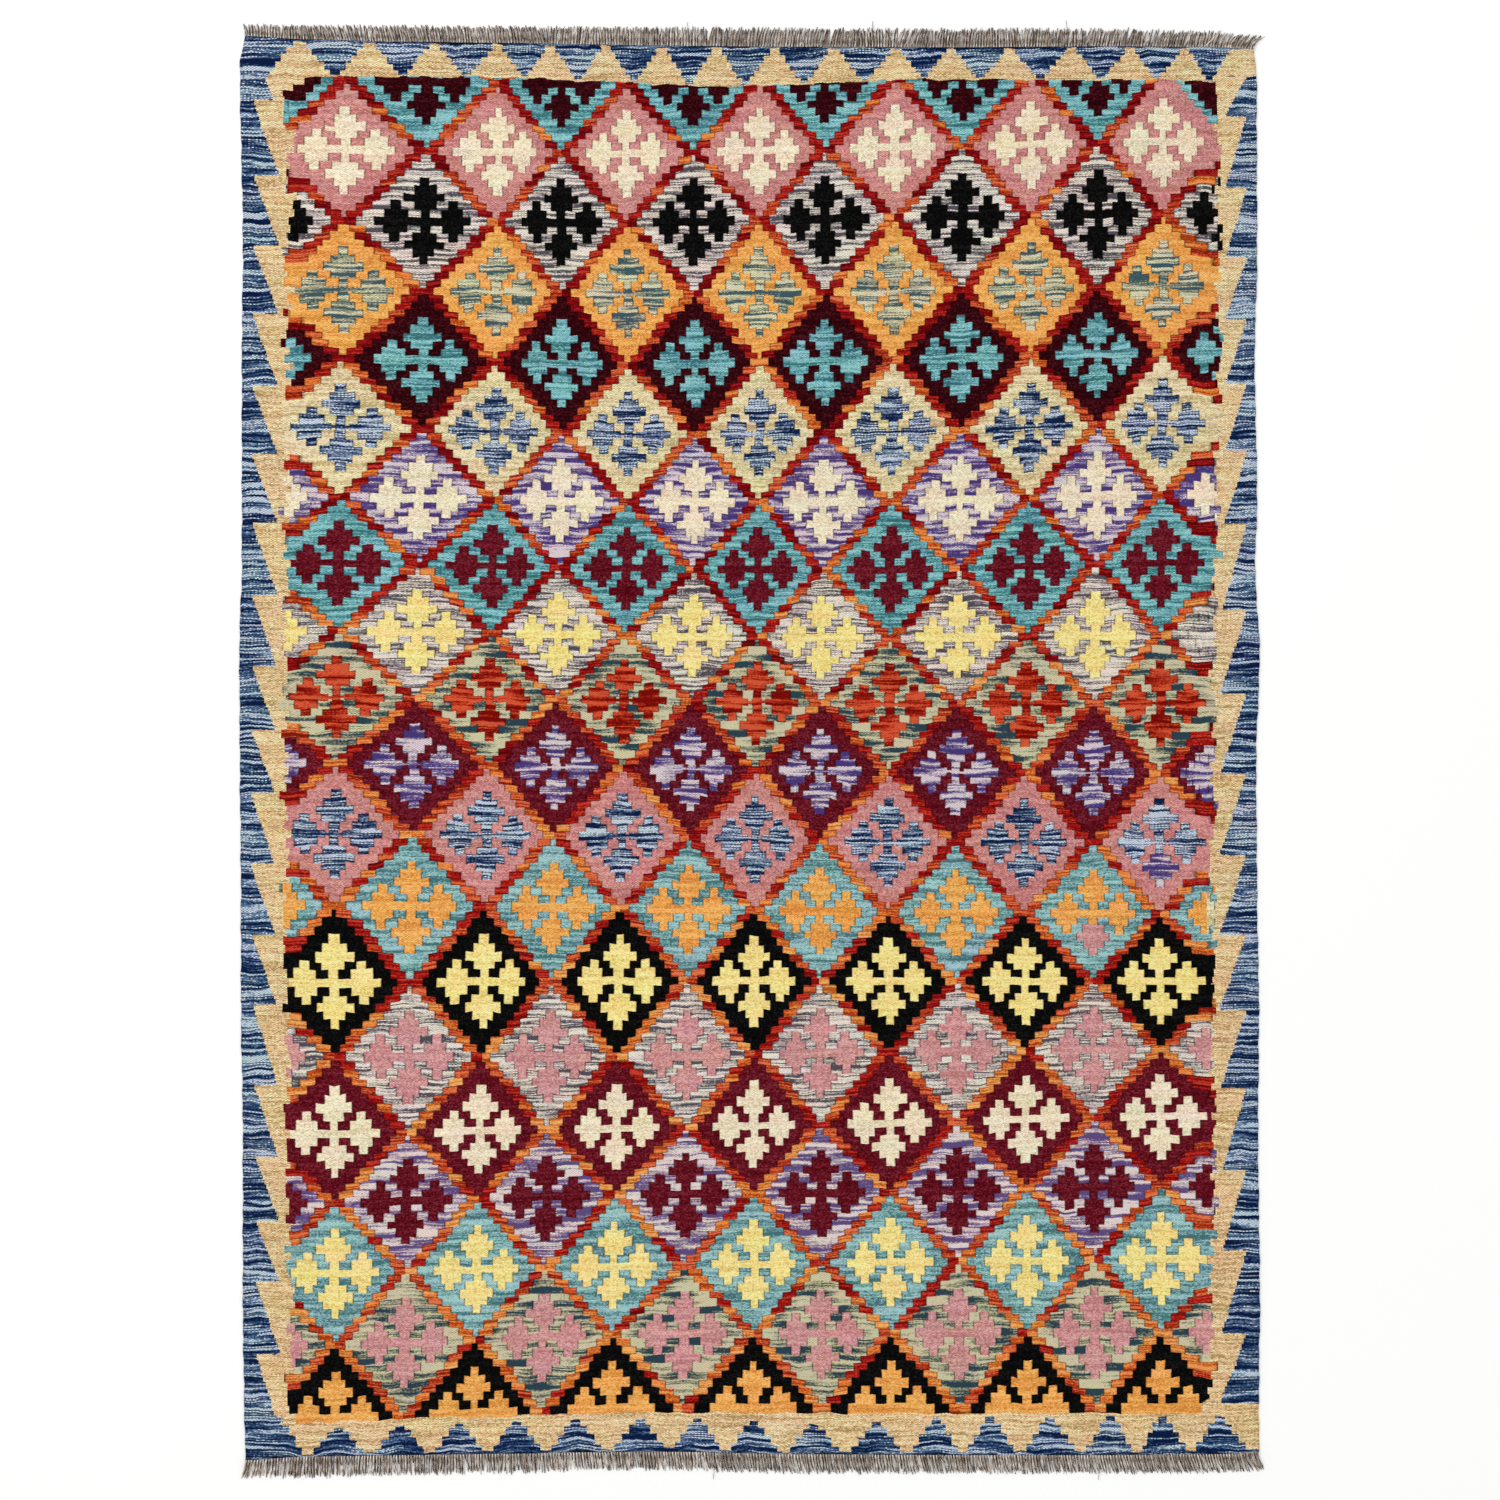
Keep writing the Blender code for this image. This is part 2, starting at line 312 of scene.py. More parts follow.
class Wire:
    # A socket in a material, so that a sum on it adds its Math node.
    def __init__(self, tree, socket):
        self.tree = tree
        self.socket = socket

    def maths(self, operation, *others):
        values = dict(enumerate((self, *others)))
        return addNode(self.tree, "ShaderNodeMath", dict(operation=operation), values)

    def __add__(self, other):
        return self.maths("ADD", other)

    def __sub__(self, other):
        return self.maths("SUBTRACT", other)

    def __mul__(self, other):
        return self.maths("MULTIPLY", other)

    def __truediv__(self, other):
        return self.maths("DIVIDE", other)

    def __rsub__(self, other):
        return addNode(self.tree, "ShaderNodeMath", dict(operation="SUBTRACT"), {0: other, 1: self})

    __radd__ = __add__
    __rmul__ = __mul__

    def __lt__(self, other):
        return self.maths("LESS_THAN", other)

    def __gt__(self, other):
        return self.maths("GREATER_THAN", other)

    def __and__(self, other):
        return self.maths("MULTIPLY", other)

    def __or__(self, other):
        return self.maths("MAXIMUM", other)

    def floor(self):
        return self.maths("FLOOR")

    def part(self):
        return self.maths("FRACT")

    def size(self):
        return self.maths("ABSOLUTE")

    def folded(self, reach):
        # To and fro between 0 and the reach.
        return self.maths("PINGPONG", reach)

    def least(self, other):
        return self.maths("MINIMUM", other)

    def most(self, other):
        return self.maths("MAXIMUM", other)

    def spread(self, low, high):
        # 0 at low and 1 at high, held to that range.
        values = {0: self, 1: low, 2: high}
        return addNode(self.tree, "ShaderNodeMapRange", dict(clamp=True), values)

    def choose(self, yes, no):
        # This wire is the mask: 1 takes yes, and 0 takes no.
        return addNode(self.tree, "ShaderNodeMix", dict(data_type="FLOAT"), {0: self, 2: no, 3: yes})

    def blendColours(self, yes, no):
        values = {0: self, 6: no, 7: yes}
        return addNode(self.tree, "ShaderNodeMix", dict(data_type="RGBA"), values, output=2)

    def parts(self):
        split = addNode(self.tree, "ShaderNodeSeparateXYZ", {}, {0: self})
        return [Wire(self.tree, out) for out in split.socket.node.outputs]

    def ramp(self, stops):
        return addNode(self.tree, "ShaderNodeValToRGB", dict(stops=stops), {0: self})


def point(x, y, z=0.0):
    tree = next(value.tree for value in (x, y, z) if isinstance(value, Wire))
    return addNode(tree, "ShaderNodeCombineXYZ", {}, {0: x, 1: y, 2: z})


def noise(vector, scale, detail=1.0, output=0):
    values = {"Vector": vector, "Scale": scale, "Detail": detail}
    return addNode(vector.tree, "ShaderNodeTexNoise", {}, values, output)


def chance(vector, output=0):
    # The same random number all over one whole-numbered place. Output 1 has three, as a colour.
    return addNode(vector.tree, "ShaderNodeTexWhiteNoise", {}, {"Vector": vector}, output)


def attribute(tree, name, output=1):
    return addNode(tree, "ShaderNodeAttribute", dict(attribute_name=name), {}, output)


def vectorMaths(operation, vector, *others):
    values = dict(enumerate((vector, *others)))
    return addNode(vector.tree, "ShaderNodeVectorMath", dict(operation=operation), values)


def scaleColour(colour, amount):
    values = {0: colour, 3: amount}
    return addNode(colour.tree, "ShaderNodeVectorMath", dict(operation="SCALE"), values)


def startMaterial(name, **constants):
    material = bpy.data.materials.new(name)
    material.use_nodes = True
    shader = material.node_tree.nodes["Principled BSDF"]
    for socket, value in constants.items():
        shader.inputs[socket.replace("_", " ")].default_value = value
    return material, material.node_tree, shader


# The hand at the loom.
hand = dict(
    across=0.30,            # how far it strays from the count, in cells
    down=0.55,              # and in rows,
    borderMore=0.6,         # by this much more in the borders
    scale=0.35,             # how soon it strays the other way
    tilt=0.12,              # the wefts climb along an outline by this many rows a cell,
    tiltFades=(1.0, 4.5),   # which fades between these distances from it, in cells
    tiltTurn=40.0,          # and turns round this sharply at a lozenge's tip,
    tipRows=1.5,            # near which the wefts lie level again
)

# The lozenges, in cells and rows.
lozenge = dict(
    outline=(8.5, 10.5),    # the outline lies between these sums of cells and rows from a middle
    jitter=0.55,            # a step's side moves by up to half of this
    flat=0.65,              # near the selvedges an outline runs flatter, by this many rows a cell,
    flatFrom=4.5,           # from so many cells off a middle,
    flatFirst=0.4,          # and by only this share of it in the first rows at the left
)

# The motif: four petals on a cross.
cross = dict(
    jitter=0.4,             # its steps move by up to half of this, in cells
    petal=2.5,              # from a petal's middle to its tip
    tip=0.65,               # half the width of that tip
    down=3.0,               # from the lozenge's middle to that of an upper or lower petal, in rows
    across=3.75,            # and to that of a left or right one, in cells
    bar=1.5,                # half the length of the bar that joins those two
    barHeight=0.5,          # half its height in rows,
    mixedBar=0.16,          # and that in a yarn
    mixedFrom=0.8,          # which is more mixed than this
    otherPetal=(2.9, 2.6),  # how far a petal in another yarn reaches from its middle
)

# At the far left corner the motif is only a low bar, and at the far right one the lozenge has bands
# of teal and wine in place of its outline: the sums of cells and rows where they begin.
cornerBar = dict(across=-1.5, down=6, reach=6.9, rows=2.6)
cornerBands = dict(across=120.5, down=9.4, teal=9.9, wine=11.4)

# The outline goes through its yarns by chance, from wine to gold.
outline = dict(
    ownRows=0.5,            # the share of its rows with a yarn of their own: the others go in pairs
    deeper=1.25,            # above 1 there is more red than gold
    reach=3.6,              # how many yarns it goes through at the far end,
    warmer=0.0095,          # and how much further it goes with each row towards the near one
    last=4.9,               # just under the number of its yarns
)

# Where the field ends and the borders begin, in cells and rows.
border = dict(
    pairJitter=1.0,         # the field's sides go in and out by half of this every other row,
    rowJitter=0.5,          # by half of this each row,
    zigzag=0.4,             # and by half of this to and fro,
    evenRows=6.5,           # but not in the first rows,
    cornerRows=2.0,         # of which so many step in at the corner,
    cornerStep=1.35,        # by this each
    nearHalf=40.0,          # from this row on, the near end's triangles are the ones that count
    teethPerCell=0.11,      # about so many teeth to a cell, and to a row
)

# The streaks in a yarn. A pair is for a yarn without thin lines, and what its lines add to that.
streaks = dict(
    broadAcross=(0.17, -0.11),      # how quickly a broad streak changes with each cell,
    broadDown=(0.20, 0.12),         # and with each weft,
    broadDepth=(2.9, -2.2),         # and how strong it is in a mixed yarn
    thinAcross=0.13,
    thinDown=0.78,
    thinDepth=(1.0, 1.6),
    grain=0.5,                      # how strong both are in a plain one
    fleck=0.8,                      # how much one float differs from the next,
    fleckMixed=0.35,                # and how much less in a mixed yarn
    blotched=0.15,                  # a yarn with fewer lines than this has blotches,
    blotchDown=0.9,                 # which change with each row,
    blotchMiddle=0.9,               # and are darker in the middle of it,
    blotchLevel=0.03,               # where the square of the rows from there is under this
    yarnsApart=60,                  # each yarn has its own place in the streaks,
    thinApart=9,
    driftApart=30,                  # and in the drift of the dye
    steps=[(0.16, 0.30), (0.42, 0.56), (0.70, 0.84)],   # where each tone passes into the next
    rightPale=0.001,                # the right border is paler before this row, and deeper after it,
    paleUntil=100.0,
    nearDeep=0.10,                  # and the near triangles' blue is deeper
    hueDrift=0.24,                  # the dye isn't even: each yarn drifts in hue,
    driftAcross=0.12,               # so quickly with each cell
    driftDown=0.05,                 # and with each weft
    brightest=0.97,
)

# What lies between the floats and on them, painted as shade and light, and their relief.
gaps = dict(
    under=0.6,              # how dark the painted shade is on a weft where it dips under a warp,
    over=0.3,               # and how much painted light it takes where it goes over one:
    paintedShadeFar=1.1,              # the painted shade and light are this strong at the far end,
    paintedShadeFade=0.0025,            # and weaker by this with each row towards the near one
    slit=0.78,              # how dark the painted shade in the slit between two colours is,
    slitLeast=0.4,          # where it shows least, as a share of that,
    slitWide=(0.04, 0.16),  # and where it fades, in cells from its middle
    seamShade=0.45,              # how dark the painted shade line between two rows of an outline is,
    seamFrom=0.433,         # and where it begins, in rows from a row's middle
    shade=0.95,             # each float's own shade,
    shadeMore=0.12,         # with up to this more
    rough=0.80,
    roughMore=0.12,
    relief=0.0006,          # the height of a rib in metres,
    reliefShare=0.8,        # and how much of it shows
)


def yarnNumber(name):
    return yarnNames.index(name)


def yarnCode(name):
    # A yarn's place from 0 to 1, as the ramps below read it.
    return (yarnNumber(name) + 0.5) / len(yarnNames)


def yarnStops(tone):
    # The tone's colour for each yarn. Beside it go how mixed the yarn is, how dark the painted shade in
    # its gaps is or how much its streaks are thin lines.
    stops = []
    for number, name in enumerate(yarnNames):
        yarn = yarns[name]
        besideIt = yarn[("mix", "gap", "lines", "mix")[tone]]
        stops.append((number / len(yarnNames), (*linearColour(yarn["tones"][tone]), besideIt)))
    return stops


def rowStops(part):
    # The yarn of the ground (0) or the motif (1). Beside it goes half the height of the motif's bar.
    stops = []
    for number, pair in enumerate(lozengeRows):
        value = yarnCode(pair[part])
        isMixed = yarns[pair[1]]["mix"] > cross["mixedFrom"]
        height = cross["mixedBar"] if isMixed else cross["barHeight"]
        stops.append((number / len(lozengeRows), (value, value, value, height)))
    return stops


def beside(ramp):
    return Wire(ramp.tree, ramp.socket.node.outputs[1])


def readGuides(tree):
    # What markLoom wrote on the cloth: the loom's count and the pattern's guide lines.
    guide = SimpleNamespace(loom=attribute(tree, "loom"))
    guide.across, guide.down = guide.loom.parts()[:2]
    guide.left, guide.right, guide.farLine = attribute(tree, "fieldEdges").parts()
    guide.nearLine, guide.farEdge, guide.nearEdge = attribute(tree, "endEdges").parts()
    guide.farTooth, guide.nearTooth, guide.sideTooth = attribute(tree, "teeth").parts()
    guide.sideIn = attribute(tree, "sideIn", output=2)
    guide.nearTip = attribute(tree, "nearTip", output=2)
    return guide


def findFloat(guide):
    # The float at a point, which is where one weft passes one warp, and its place in cells and rows.
    at = SimpleNamespace()
    inside = (guide.across - guide.left).least(guide.right - guide.across)
    inside = inside.least(guide.down - guide.farLine).least(guide.nearLine - guide.down).spread(-1.0, 1.0)
    slow = vectorMaths("MULTIPLY", guide.loom, (hand["scale"], hand["scale"], 1.0))
    astray = noise(slow, 1.0, 1.0, output=1).parts()
    at.cellsAcross = guide.across + (astray[0] - 0.5) * hand["across"]
    wobble = (1 + hand["borderMore"]) - inside * hand["borderMore"]
    rowsDown = guide.down + (astray[1] - 0.5) * wobble * hand["down"]

    # Along an outline the wefts are beaten in on a slant, up one side of a lozenge and down the other.
    fold = rowsDown.folded(rowHalf)
    fromBand = at.cellsAcross.folded(cellHalf) - fold + (rowHalf - cellHalf + 0.5)
    bend = fromBand * (1 - fromBand.size().spread(*hand["tiltFades"]))
    climbs = ((rowsDown * (0.5 / rowHalf)).part() - 0.5) * hand["tiltTurn"]
    climbs = climbs.most(-1.0).least(1.0) * fold.least(rowHalf - fold).spread(0.0, hand["tipRows"])
    rowsDown = rowsDown + bend * climbs * inside * hand["tilt"]

    # Over the near triangles they rise in an arch, most of all at the left.
    arch = ((guide.nearTooth * math.tau).maths("COSINE") + 1) * 0.5
    arch = arch * (guide.down - guide.nearLine).spread(*nearTeeth["archRows"])
    at.rowsDown = rowsDown + arch * (nearTeeth["arch"] - guide.across * nearTeeth["archLess"])

    # Each weft goes over one warp and under the next, and the following weft the other way round.
    at.warp = (at.cellsAcross * rug["warpsPerCell"]).floor()
    at.weft = (at.rowsDown * rug["picksPerRow"]).floor()
    at.isOver = (at.warp + at.weft).maths("FLOORED_MODULO", 2.0)
    at.across = (at.warp + 0.5) * (1 / rug["warpsPerCell"])
    at.down = (at.weft + 0.5) * (1 / rug["picksPerRow"])
    at.row = (at.down + 0.5).floor().least(lastRow)
    at.fromRowMiddle = at.down - at.row
    at.chances = chance(point(at.warp, at.weft), output=1).parts()
    return at


def findLozenge(at):
    # Which lozenge a float lies in, and how far from its middle. Every other row of lozenges is an A
    # row, which stands half a lozenge aside from the B rows before and after it.
    at.side = (at.across * (1 / cellHalf)).floor()
    at.jitters = chance(point(at.side, at.row), output=1).parts()
    acrossA = at.cellsAcross.folded(cellHalf)
    downB = at.row.folded(rowHalf)
    downA = rowHalf - downB
    at.isRight = at.across > lastMiddle
    first = lozenge["flatFirst"]
    isOuter = (at.across < 0.0) * ((at.row > rowHalf) * (1 - first) + first)
    isOuter = isOuter | (at.isRight & (at.row > rowHalf + 0.5))
    flatter = (acrossA - lozenge["flatFrom"]).most(0.0) * isOuter * lozenge["flat"]
    at.sumA = acrossA + downA + (at.jitters[0] - 0.5) * lozenge["jitter"] - flatter
    inner, outer = lozenge["outline"]
    at.isA = at.sumA < inner
    at.isB = at.sumA > outer
    at.inOutline = (1 - at.isA) & (1 - at.isB)
    at.fromOutline = (at.sumA - inner).size().least((at.sumA - outer).size())
    at.fromMiddle = at.isA.choose(acrossA, cellHalf - acrossA) + (at.jitters[1] - 0.5) * cross["jitter"]
    at.fromRow = at.isA.choose(downA, downB)
    rowA = (at.row * (0.5 / rowHalf)).floor() * 2 + 1
    rowB = (at.row * (0.5 / rowHalf) + 0.5).floor() * 2
    at.rowCode = (at.isA.choose(rowA, rowB) + 0.5) * (1 / len(lozengeRows))


def weaveMotif(at):
    # The motif's mask and its yarn, and how far off the sides of its steps are.
    yarn = at.rowCode.ramp(rowStops(1))
    petal, end = cross["petal"], cross["down"] + cross["petal"]
    wideDown = (petal - (at.fromRow - cross["down"]).size()).most(cross["tip"])
    inDown = (at.fromMiddle < wideDown) & (at.fromRow < end)
    wideSide = (petal - at.fromRow).most(cross["tip"])
    fromSide = (at.fromMiddle - cross["across"]).size()
    inSide = (fromSide < wideSide) & (at.fromRow < petal)
    height = beside(yarn) | (at.row > lastRow - 0.5)
    inBar = (at.fromMiddle < cross["bar"]) & (at.fromRow < 0.5) & (at.fromRowMiddle.size() < height)
    motif = inDown | inSide | inBar
    fromDown = (at.fromMiddle - wideDown).size() + (at.fromRow > end)
    at.fromMotif = fromDown.least((fromSide - wideSide).size() + (at.fromRow > petal)) + inBar

    reach = at.fromMiddle + at.fromRow
    inCorner = (at.across < cornerBar["across"]) & (at.down < cornerBar["down"])
    motif = inCorner.choose((reach < cornerBar["reach"]) & (at.fromRow < cornerBar["rows"]), motif)
    for half in rightHalves:
        isHere = at.isRight & (1 - at.isA) & ((at.row - half["row"]).size() < rowHalf - 0.5)
        motif = isHere.choose(reach < half["reach"], motif)
    for other in otherPetals:
        isHere = (at.cellsAcross - other["across"]).size() < cross["otherPetal"][0]
        isHere = isHere & ((at.row - other["row"]).size() < cross["otherPetal"][1])
        yarn = isHere.choose(yarnCode(other["yarn"]), yarn)
    return motif, yarn


def pickOutline(at):
    # The outline's yarn changes every row or two, and there is more orange in the nearer half.
    pair = ((at.row + at.jitters[2]) * 0.5).floor()
    pairChance = chance(point(at.side + 0.5, pair + 0.25), output=1).parts()[0]
    rowChance = chance(point(at.side + 0.25, at.row + 0.75))
    share = (rowChance < outline["ownRows"]).choose(rowChance * (1 / outline["ownRows"]), pairChance)
    number = share.maths("POWER", outline["deeper"]) * outline["reach"]
    number = (number + (at.down * outline["warmer"]).most(0.0)).least(outline["last"]).floor()
    return (number + (yarnNumber("outlineWine") + 0.5)) * (1 / len(yarnNames))


def weaveField(at):
    # The field's yarn: motifs on their grounds, the outlines between them and the corner's bands.
    motif, motifYarn = weaveMotif(at)
    ground = at.rowCode.ramp(rowStops(0))
    yarn = (at.isA | at.isB).choose(motif.choose(motifYarn, ground), pickOutline(at))
    bands = (at.sumA < cornerBands["wine"]).choose(yarnCode("teal"), yarnCode("wine"))
    bands = (at.sumA < cornerBands["teal"]).choose(yarnCode("rose"), bands)
    at.inBands = (at.across > cornerBands["across"]) & (at.down < cornerBands["down"]) & (1 - at.isA)
    return at.inBands.choose(bands, yarn)


def findField(at, guide):
    # The field's sides go in and out with its steps.
    pairChance = chance(point((at.row * 0.5 + at.jitters[2]).floor(), 7.0))
    jitter = (pairChance - 0.5) * border["pairJitter"] + (at.jitters[2] - 0.5) * border["rowJitter"]
    jitter = (jitter + (at.row.folded(1) - 0.5) * border["zigzag"]) * (at.row > border["evenRows"])
    cornerSteps = (border["cornerRows"] - at.row).most(0.0) * border["cornerStep"]
    inField = (at.across > guide.left + jitter + cornerSteps) & (at.across < guide.right - jitter)
    return inField & (at.down > guide.farLine) & (at.down < guide.nearLine)


def weaveBorders(at, guide):
    # The borders' yarn: beige and blue teeth, and dark blue edges at the two ends.
    stepAcross = (at.across - at.cellsAcross) * border["teethPerCell"]
    stepDown = (at.down - at.rowsDown) * border["teethPerCell"]
    isFar = at.down < border["nearHalf"]
    place = (isFar.choose(guide.farTooth, guide.nearTooth) + stepAcross).folded(0.5)

    farRow = ((at.down - guide.farEdge) / (guide.farLine - guide.farEdge) * farTeeth["rows"]).floor()
    farBlue = (at.down < guide.farLine - farTeeth["clear"]) | (guide.farTooth < farTeeth["cornerBlue"])
    farWide = (farTeeth["wide"] - farRow * farTeeth["step"]) * farBlue
    nearRow = (at.down - guide.nearTip) / (guide.nearEdge - guide.nearTip)
    nearRow = (nearRow * nearTeeth["rows"] + nearTeeth["firstRow"]).floor()
    nearWide = (nearRow * nearTeeth["step"] + nearTeeth["wide"]).least(nearTeeth["widest"])
    nearWide = nearWide + (at.down > guide.nearEdge - nearTeeth["lastRow"])
    endBlue = place < isFar.choose(farWide, nearWide)

    steps = sideTeeth["steps"]
    toothStep = (((guide.sideTooth + stepDown).part() * steps).floor() + 0.5) / steps
    toothStep = toothStep + (chance(point(at.row, 3.0)) - 0.5) * sideTeeth["jitter"]
    isPastTip = at.down > guide.nearTip
    inEnd = isFar.choose(at.down < guide.farLine, isPastTip)
    isBlue = inEnd.choose(endBlue, guide.sideIn < toothStep)
    at.isNearBlue = isPastTip & isBlue
    atEdge = isFar.choose(at.down < guide.farEdge, at.down > guide.nearEdge)
    return atEdge.choose(yarnCode("edgeBlue"), isBlue.choose(yarnCode("sideBlue"), yarnCode("beige")))


def withLines(pair, lines):
    # What a pair gives for this yarn, by how much of it is in thin lines.
    return lines * pair[1] + pair[0]


def dyeYarn(at, guide, code):
    # The yarn's colour here: long thin streaks in a mixed yarn, and fine grain in a plain one. It
    # comes with how dark the painted shade in the yarn's gaps is.
    tones = [code.ramp(yarnStops(tone)) for tone in range(4)]
    mixed, gapShadeDepth, lines = [beside(ramp) for ramp in tones[:3]]
    isBlotched = lines < streaks["blotched"]
    broadAcross = at.across * withLines(streaks["broadAcross"], lines)
    broadDown = at.weft * withLines(streaks["broadDown"], lines)
    broadDown = isBlotched.choose(at.row * streaks["blotchDown"], broadDown)
    place = code * streaks["yarnsApart"]
    broad = noise(point(broadAcross, broadDown, place), 1.0, 0.0) - 0.5
    blotch = at.fromRowMiddle * at.fromRowMiddle - streaks["blotchLevel"]
    broad = broad + isBlotched * blotch * streaks["blotchMiddle"]
    thinAcross, thinDown = at.across * streaks["thinAcross"], at.weft * streaks["thinDown"]
    thin = noise(point(thinAcross, thinDown, place + streaks["thinApart"]), 1.0, 0.0) - 0.5
    tone = 0.5 + broad * (mixed * withLines(streaks["broadDepth"], lines) + streaks["grain"])
    tone = tone + thin * (mixed * withLines(streaks["thinDepth"], lines) + streaks["grain"])
    tone = tone + (at.chances[0] - 0.5) * (streaks["fleck"] - mixed * streaks["fleckMixed"])
    tone = tone + (at.across > guide.right) * (streaks["paleUntil"] - at.down) * streaks["rightPale"]
    tone = tone - at.isNearBlue * streaks["nearDeep"]
    colour = tones[0]
    for (low, high), paler in zip(streaks["steps"], tones[1:]):
        colour = tone.spread(low, high).blendColours(paler, colour)

    amount = streaks["hueDrift"]
    driftAcross, driftDown = at.across * streaks["driftAcross"], at.weft * streaks["driftDown"]
    drift = noise(point(driftAcross, driftDown, code * streaks["driftApart"]), 1.0, 1.0, output=1)
    drift = vectorMaths("MULTIPLY_ADD", drift, (amount,) * 3, (1 - amount / 2,) * 3)
    return vectorMaths("MULTIPLY", colour, drift), gapShadeDepth


def shadeGaps(at, guide, inField, gapShadeDepth):
    # How light the weave is here: painted shade in the gaps between floats and painted light on their tops,
    # and painted shade in its slits between colours and between the rows of an outline.
    # Painted shade where a weft dips under a warp, and painted light where it goes over one.
    gap = (1 - at.isOver) * gaps["under"] - at.isOver * gaps["over"]
    gap = gap * (gaps["paintedShadeFar"] - guide.down * gaps["paintedShadeFade"])
    isPlain = inField & (1 - at.inBands)
    # Painted shade in the slits along the outlines and motifs.
    slit = at.fromOutline.least(at.fromMotif + (1 - (at.isA | at.isB)))
    slit = (1 - slit.spread(*gaps["slitWide"])) & isPlain
    slit = slit & (at.chances[1] * (1 - gaps["slitLeast"]) + gaps["slitLeast"])
    # Painted shade along the line between two rows of an outline.
    seamShade = at.inOutline & isPlain & (at.fromRowMiddle.size() > gaps["seamFrom"])
    shade = (1 - gap * gapShadeDepth) * (1 - slit * gaps["slit"]) * (1 - seamShade * gaps["seamShade"])
    return shade * (gaps["shade"] + at.chances[1] * gaps["shadeMore"])


def makeWeaveMaterial():
    material, tree, shader = startMaterial("kilimWool", Specular_IOR_Level=0.04)
    guide = readGuides(tree)
    at = findFloat(guide)
    findLozenge(at)
    inField = findField(at, guide)
    code = inField.choose(weaveField(at), weaveBorders(at, guide))
    colour, gapShadeDepth = dyeYarn(at, guide, code)
    colour = scaleColour(colour, shadeGaps(at, guide, inField, gapShadeDepth))
    colour = vectorMaths("MINIMUM", colour, (streaks["brightest"],) * 3)
    tree.links.new(colour.socket, shader.inputs["Base Color"])
    rough = gaps["rough"] + at.chances[2] * gaps["roughMore"]
    tree.links.new(rough.socket, shader.inputs["Roughness"])

    # The relief reads the plain count, which is quick and near enough.
    crown = (guide.across * (rug["warpsPerCell"] * math.pi)).maths("COSINE")
    crown = crown * (guide.down * (rug["picksPerRow"] * math.pi)).maths("COSINE")
    relief = {"Height": crown, "Distance": gaps["relief"], "Strength": gaps["reliefShare"]}
    bump = addNode(tree, "ShaderNodeBump", {}, relief)
    tree.links.new(bump.socket, shader.inputs["Normal"])
    return material


# The cloth's shape, in metres where nothing else is said.
cloth = dict(
    columns=160,
    rows=220,
    swells=[                # height in mm, waves across and along the rug, and phase
        dict(height=0.16, across=1, along=2, phase=0.4),
        dict(height=0.12, across=3, along=1, phase=1.9),
        dict(height=0.08, across=5, along=7, phase=2.6),
    ],
    edgeDrop=0.0007,        # the selvedge is a little thinner
    ripple=0.0011,          # and goes in and out where the weft turns round,
    rippleWaves=[(61, 0.6), (23, 0.4)],     # in so many waves, each with its share of that
    mapMargin=0.02,         # round the rug in its flat map
)


def markCount(place, marks):
    # Which mark a place is at, counted from the first, with fractions, also past both ends.
    marks = np.asarray(marks, float)
    if marks.ndim == 1:
        marks = np.tile(marks, (len(place), 1))
    step = np.clip((marks <= place[:, None]).sum(1) - 1, 0, marks.shape[1] - 2)
    each = np.arange(len(place))
    low, high = marks[each, step], marks[each, step + 1]
    return step + (place - low) / (high - low)


def readRows(place, places, rows):
    # A table of several rows read at a place between them: one line of marks for each place.
    rows = np.asarray(rows, float)
    return np.stack([np.interp(place, places, rows[:, k]) for k in range(rows.shape[1])], axis=1)


def countCells(x, down):
    columns = markCount(x, readRows(down, columnMiddles["down"], columnMiddles["across"])) - 1
    rows = markCount(down, readRows(x, rowMiddles["across"], rowMiddles["down"]))
    return columns * cellHalf, rows * rowHalf


def setAttribute(mesh, name, *columns):
    if len(columns) == 1:
        made = mesh.attributes.new(name, "FLOAT", "POINT")
        made.data.foreach_set("value", columns[0].astype(np.float32))
        return
    made = mesh.attributes.new(name, "FLOAT_VECTOR", "POINT")
    made.data.foreach_set("vector", np.stack(columns, axis=1).astype(np.float32).ravel())


